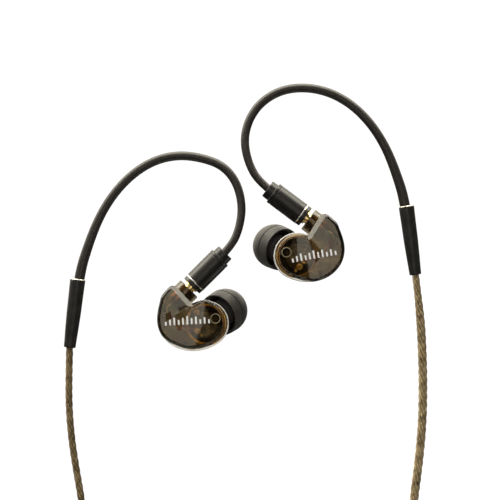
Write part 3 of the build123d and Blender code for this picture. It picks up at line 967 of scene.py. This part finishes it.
def make_print(side):
    """A printed row of level bars, thin ink on the faceplate."""
    place = earpieces[side]
    centre, tilt = PRINTS[side]
    back = place.inverted()
    middle = back @ at(*centre, 15.6)
    heading = Vector((math.cos(math.radians(tilt)), math.sin(math.radians(tilt)), 0))
    x = (back.to_3x3() @ heading).normalized()
    y = (back.to_3x3() @ Vector((-heading.y, heading.x, 0))).normalized()
    mesh = bmesh.new()
    for n, height in enumerate(BARS):
        shift = (n - (len(BARS) - 1) / 2) * BAR_PITCH
        a, low_end = BAR_WIDTH / 2, -max(BARS) / 2
        top_end = low_end + height
        corners = [(-a, low_end, 0), (a, low_end, 0), (a, top_end, 0), (-a, top_end, 0)]
        corners = soften(corners, 0.16, closed=True)
        bar = [middle + x * (shift + p.x) + y * p.y for p in corners]
        low = [Vector((p.x, p.y, PLATE_TOP - 0.005)) for p in bar]
        high = [Vector((p.x, p.y, PLATE_TOP + 0.02)) for p in bar]
        made = skin_rings(mesh, place, [low, high])
        mesh.faces.new(made[0])
        mesh.faces.new(made[1])
    to_object(mesh, f"{side}_print", PRINT_LOOK, f"{side}_earpiece")


def block(mesh, place, centre, size, lift):
    """A small pad with its upper edges rounded off."""
    half = [s / 2 for s in size]
    rings = []
    for inset, z in ((0.0, -half[2]), (0.0, half[2] - lift), (lift, half[2])):
        x, y = half[0] - inset, half[1] - inset
        corners = [Vector((a, b, z)) for a, b in ((-x, -y), (x, -y), (x, y), (-x, y))]
        ring = [corner + Vector(centre) for corner in corners]
        rings.append(soften(ring, min(half[:2]) * 0.5, closed=True))
    made = skin_rings(mesh, place, rings)
    mesh.faces.new(made[0])
    mesh.faces.new(made[-1])


def blob(name, place, centre, radius, body):
    """A drop of solder, pale as a painted glint: a flattened, slightly uneven dome."""
    profile = [(0.0, -0.5), (0.8, -0.5), (1.0, -0.15), (0.85, 0.35), (0.45, 0.68), (0.0, 0.78)]
    profile = [(r * radius, z * radius) for r, z in profile]
    local = place @ Matrix.Translation(centre)
    lathe(name, profile, local, SOLDER_GLINT_LOOK, body, round_mm=0.3 * radius, segments=32)


SOLDER_GLINT_SPOTS = {                           # layout position and size of each drop, set where bright glints show: painted glints
    "left": [(-14.0, -16.4, 0.8), (-13.9, -21.3, 0.85), (-12.8, -22.4, 0.45)],
    "right": [(13.1, -4.3, 0.9), (12.1, -5.3, 0.45), (14.2, -3.2, 0.4)],
}


def make_internals(side):
    """Contact strips, solder drops coloured as painted glints, and the fine coil lead that show through the
    faceplate.
    """
    place = earpieces[side]
    body = f"{side}_earpiece"
    mesh = bmesh.new()
    for v in (1.8, 0.5):
        block(mesh, place, (-6.3, v, 3.26), (1.3, 0.42, 0.12), 0.04)
    to_object(mesh, f"{side}_contact_strips", COPPER_STRIP_LOOK, body)
    for n, (x, y, size) in enumerate(SOLDER_GLINT_SPOTS[side]):
        spot = place.inverted() @ at(x, y, 11)
        spot.z = 2.7
        blob(f"{side}_solder_{n + 1}", place, spot, size, body)
    lead = [(-8.3, 0.5, 2.0), (-9.3, 0.7, 2.5), (-10.2, 0.4, 2.2), (-10.8, -0.6, 1.6)]
    line = spline_points(f"{side}_lead_route", [place @ Vector(p) for p in lead], 10)
    # The lead uses the solder's bright look, painted glint included.
    sweep(f"{side}_link_wire", line, lambda share: 0.14, SOLDER_GLINT_LOOK, body, sides=12)


# ---- connectors
def make_connector(side):
    """The black barrel with its bright ring: rounded edges and a fine parting line."""
    axis = along_connector(side)
    heading = joints[f"{side}_connector_swivel"]["axis"]
    barrel = [
        (0.0, -1.45), (2.78, -1.45), (2.88, -1.3), (2.88, -0.4), (2.82, -0.36), (2.82, 0.0),
        (2.94, 0.02), (2.975, 0.2), (2.975, 8.1), (2.9, 8.16), (2.9, 8.3), (2.975, 8.36),
        (2.975, 9.1), (2.85, 9.2), (2.45, 9.22), (2.42, 10.9), (2.3, 11.1), (1.25, 11.1),
        (1.15, 10.7), (0.0, 10.7),
    ]
    black = turned_metal(
        f"{side}_black_barrel", heading, (0.005, 0.0045, 0.0043), (0.008, 0.0074, 0.007),
        (0.35, 0.4), relief_mm=0.0005, metallic=0.0, Specular_IOR_Level=0.6,
    )
    body = lathe(f"{side}_barrel", barrel, axis, black, "cable", round_mm=0.06)
    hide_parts(f"{side}_connector_barrel")
    bright = turned_metal(
        f"{side}_bright_ring", heading, (0.86, 0.85, 0.83), (0.95, 0.94, 0.92), (0.3, 0.38),
        0.08, 0.001,
    )
    ring = [(2.7, -0.37), (3.0, -0.35), (3.03, -0.2), (3.03, -0.08), (2.99, 0.0), (2.7, 0.01)]
    trim = lathe(
        f"{side}_ring", ring, axis, bright, "cable", closed=True, round_mm=0.04,
    )
    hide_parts(f"{side}_trim_ring")
    gold = turned_metal(
        f"{side}_gold_turned", heading, (0.86, 0.6, 0.22), (1.0, 0.8, 0.42), (0.16, 0.3),
        0.1, 0.003,
    )
    for part in ("coax_socket", "plug_contact", "snap_ring", "plug_pin"):
        dress(nodes[f"{side}_{part}"], gold)
    driver_ring = grained(
        f"{side}_gold_ring", (0.3, 0.17, 0.045), (1.0, 0.64, 0.2), (0.22, 0.38), 0.3, 0.003,
        Metallic=0.35,
    )
    dress(nodes[f"{side}_driver_ring"], driver_ring)


# ---- the rest of the CAD nodes
PLAIN_PARTS = [
    ("nozzle_screen", STEEL_LOOK, "steel"),
    ("driver_frame", BLACK_PLASTIC_LOOK, "black_plastic"),
    ("driver_magnet", MAGNET_LOOK, "steel"),
    ("driver_diaphragm", FILM_LOOK, "film"),
    ("terminal_board", BOARD_LOOK, "board"),
    ("lead_wires", WIRE_LOOK, "wire_enamel"),
    ("guide_pins", BLACK_PLASTIC_LOOK, "black_plastic"),
    ("plug_insulator", WHITE_PLASTIC_LOOK, "white_plastic"),
]


def dress_nodes():
    for side in SIDES:
        nozzle = turned_metal(
            f"{side}_nozzle_metal", mounts[f"{side}_ear_canal"]["axis"],
            (0.5, 0.5, 0.5), (0.62, 0.62, 0.61), (0.25, 0.36),
        )
        dress(nodes[f"{side}_nozzle"], nozzle)
        for part, look, slot in PLAIN_PARTS:
            dress(nodes[f"{side}_{part}"], look)
    for part in ("chin_slider", "plug_relief", "jack_insulators"):
        dress(nodes[part], BLACK_PLASTIC_LOOK)
    for name, axis, part in (
        ("black_turned", (1, 0, 0), "plug_handle"),
        ("black_turned_down", (0, 1, 0), "y_splitter"),
    ):
        black = turned_metal(
            name, axis, (0.012, 0.0115, 0.011), (0.02, 0.019, 0.018), (0.28, 0.4), 0.1, 0.003,
            metallic=0.0,
        )
        dress(nodes[part], black)
    gold = turned_metal(
        "jack_gold", (1, 0, 0), (0.83, 0.58, 0.22), (0.98, 0.76, 0.38), (0.14, 0.26), 0.1, 0.002,
    )
    for part in ("jack_sleeve", "jack_ring", "jack_tip"):
        dress(nodes[part], gold)


# ---- stage and light
def flat_card(name, size, place, look):
    mesh = bmesh.new()
    bmesh.ops.create_grid(mesh, x_segments=1, y_segments=1, size=0.5)
    mesh.transform(Matrix.Diagonal((*size, 1, 1)))
    data = bpy.data.meshes.new(name)
    mesh.to_mesh(data)
    mesh.free()
    card = bpy.data.objects.new(name, data)
    card.matrix_world = place
    scene.collection.objects.link(card)
    data.materials.append(look.material)
    return card


def glowing(name, colour, glow, strength):
    """A matt look of one colour that gives off light of another."""
    return Look(
        name, Roughness=0.8, Specular_IOR_Level=0.0, Base_Color=(*colour, 1),
        Emission_Color=(*glow, 1), Emission_Strength=strength,
    )


def only_in_reflections(card):
    card.visible_camera = card.visible_diffuse = card.visible_shadow = False
    card.visible_transmission = card.visible_volume_scatter = False


CARD_GLOW = 0.42
CARD_HEIGHT = 0.78                         # metres, as are the next two
CARD_GAP, CARD_REACH = 0.0266, 0.11        # between the cards, and out to their far edges


def make_stage():
    """A pale floor, and cards over the camera that only mirror in glossy surfaces."""
    floor = glowing("pale_floor", (0.12, 0.12, 0.12), (1, 1, 1), 1.0)
    ground = flat_card("floor", (6, 6), Matrix(), floor)
    ground.visible_glossy = ground.visible_diffuse = ground.visible_shadow = False

    dark = glowing("dark_card", (0.01, 0.01, 0.01), (0.01, 0.01, 0.01), 0.0)
    light = glowing("light_card", (1.0, 0.97, 0.92), (1.0, 0.97, 0.92), CARD_GLOW)
    middle = at(0, 0, 0).x
    for name, sign in (("left", -1), ("right", 1)):
        place = Matrix.Translation((middle + sign * (CARD_GAP + CARD_REACH) / 2, 0, CARD_HEIGHT))
        card = flat_card(f"{name}_card", (CARD_REACH - CARD_GAP, 0.8), place, light)
        only_in_reflections(card)
    over = Matrix.Translation((0, 0, CARD_HEIGHT + 0.01))
    only_in_reflections(flat_card("dark_ceiling", (0.5, 0.9), over, dark))


LIGHT_AIM = Vector((0, 0, 0.01))


def area_light(name, size, place, power, colour):
    data = bpy.data.lights.new(name, "AREA")
    data.shape = "RECTANGLE"
    data.size, data.size_y = size
    data.energy = power
    data.color = colour
    lamp = bpy.data.objects.new(name, data)
    lamp.location = place
    lamp.rotation_euler = (LIGHT_AIM - Vector(place)).to_track_quat("-Z", "Y").to_euler()
    scene.collection.objects.link(lamp)
    lamp.visible_camera = False
    return lamp


def make_light():
    world = bpy.data.worlds.new("studio")
    world.use_nodes = True
    tree = world.node_tree
    backdrop = tree.nodes["Background"]
    room = tree.nodes.new("ShaderNodeBackground")
    for node, colour, strength in ((backdrop, (1, 1, 1, 1), 1.0), (room, (1, 0.97, 0.93, 1), 0.06)):
        node.inputs["Color"].default_value = colour
        node.inputs["Strength"].default_value = strength
    rays = tree.nodes.new("ShaderNodeLightPath")
    mix = tree.nodes.new("ShaderNodeMixShader")
    tree.links.new(rays.outputs["Is Camera Ray"], mix.inputs["Fac"])
    tree.links.new(room.outputs[0], mix.inputs[1])
    tree.links.new(backdrop.outputs[0], mix.inputs[2])
    tree.links.new(mix.outputs[0], tree.nodes["World Output"].inputs["Surface"])
    scene.world = world
    area_light("key", (2.6, 0.6), (-0.1, 0.75, 0.0), 32.0, (1.0, 0.945, 0.79))
    area_light("under_edge", (2.4, 1.2), (-0.1, 0.55, -0.45), 17.0, (1.0, 0.94, 0.8))
    area_light("soft_left", (0.4, 0.4), (-0.55, 0.25, 0.5), 0.4, (1.0, 0.96, 0.86))
    overhead = area_light("overhead", (1.0, 1.0), (0.0, 0.1, 0.95), 5.2, (1.0, 0.99, 0.97))
    overhead.visible_glossy = False
    area_light("low_front", (1.6, 0.3), (0.2, -0.75, -0.08), 2.2, (1.0, 0.95, 0.84))
    scene.view_settings.view_transform = "Standard"
    scene.view_settings.look = "None"


# ---- everything
make_camera()
make_cords()
make_ties()
for side in SIDES:
    make_hook(side)
    make_tip(side)
    make_shell(side)
    make_rim_highlight(side)
    make_faceplate(side)
    make_print(side)
    make_internals(side)
    make_connector(side)
dress_nodes()
make_stage()
make_light()
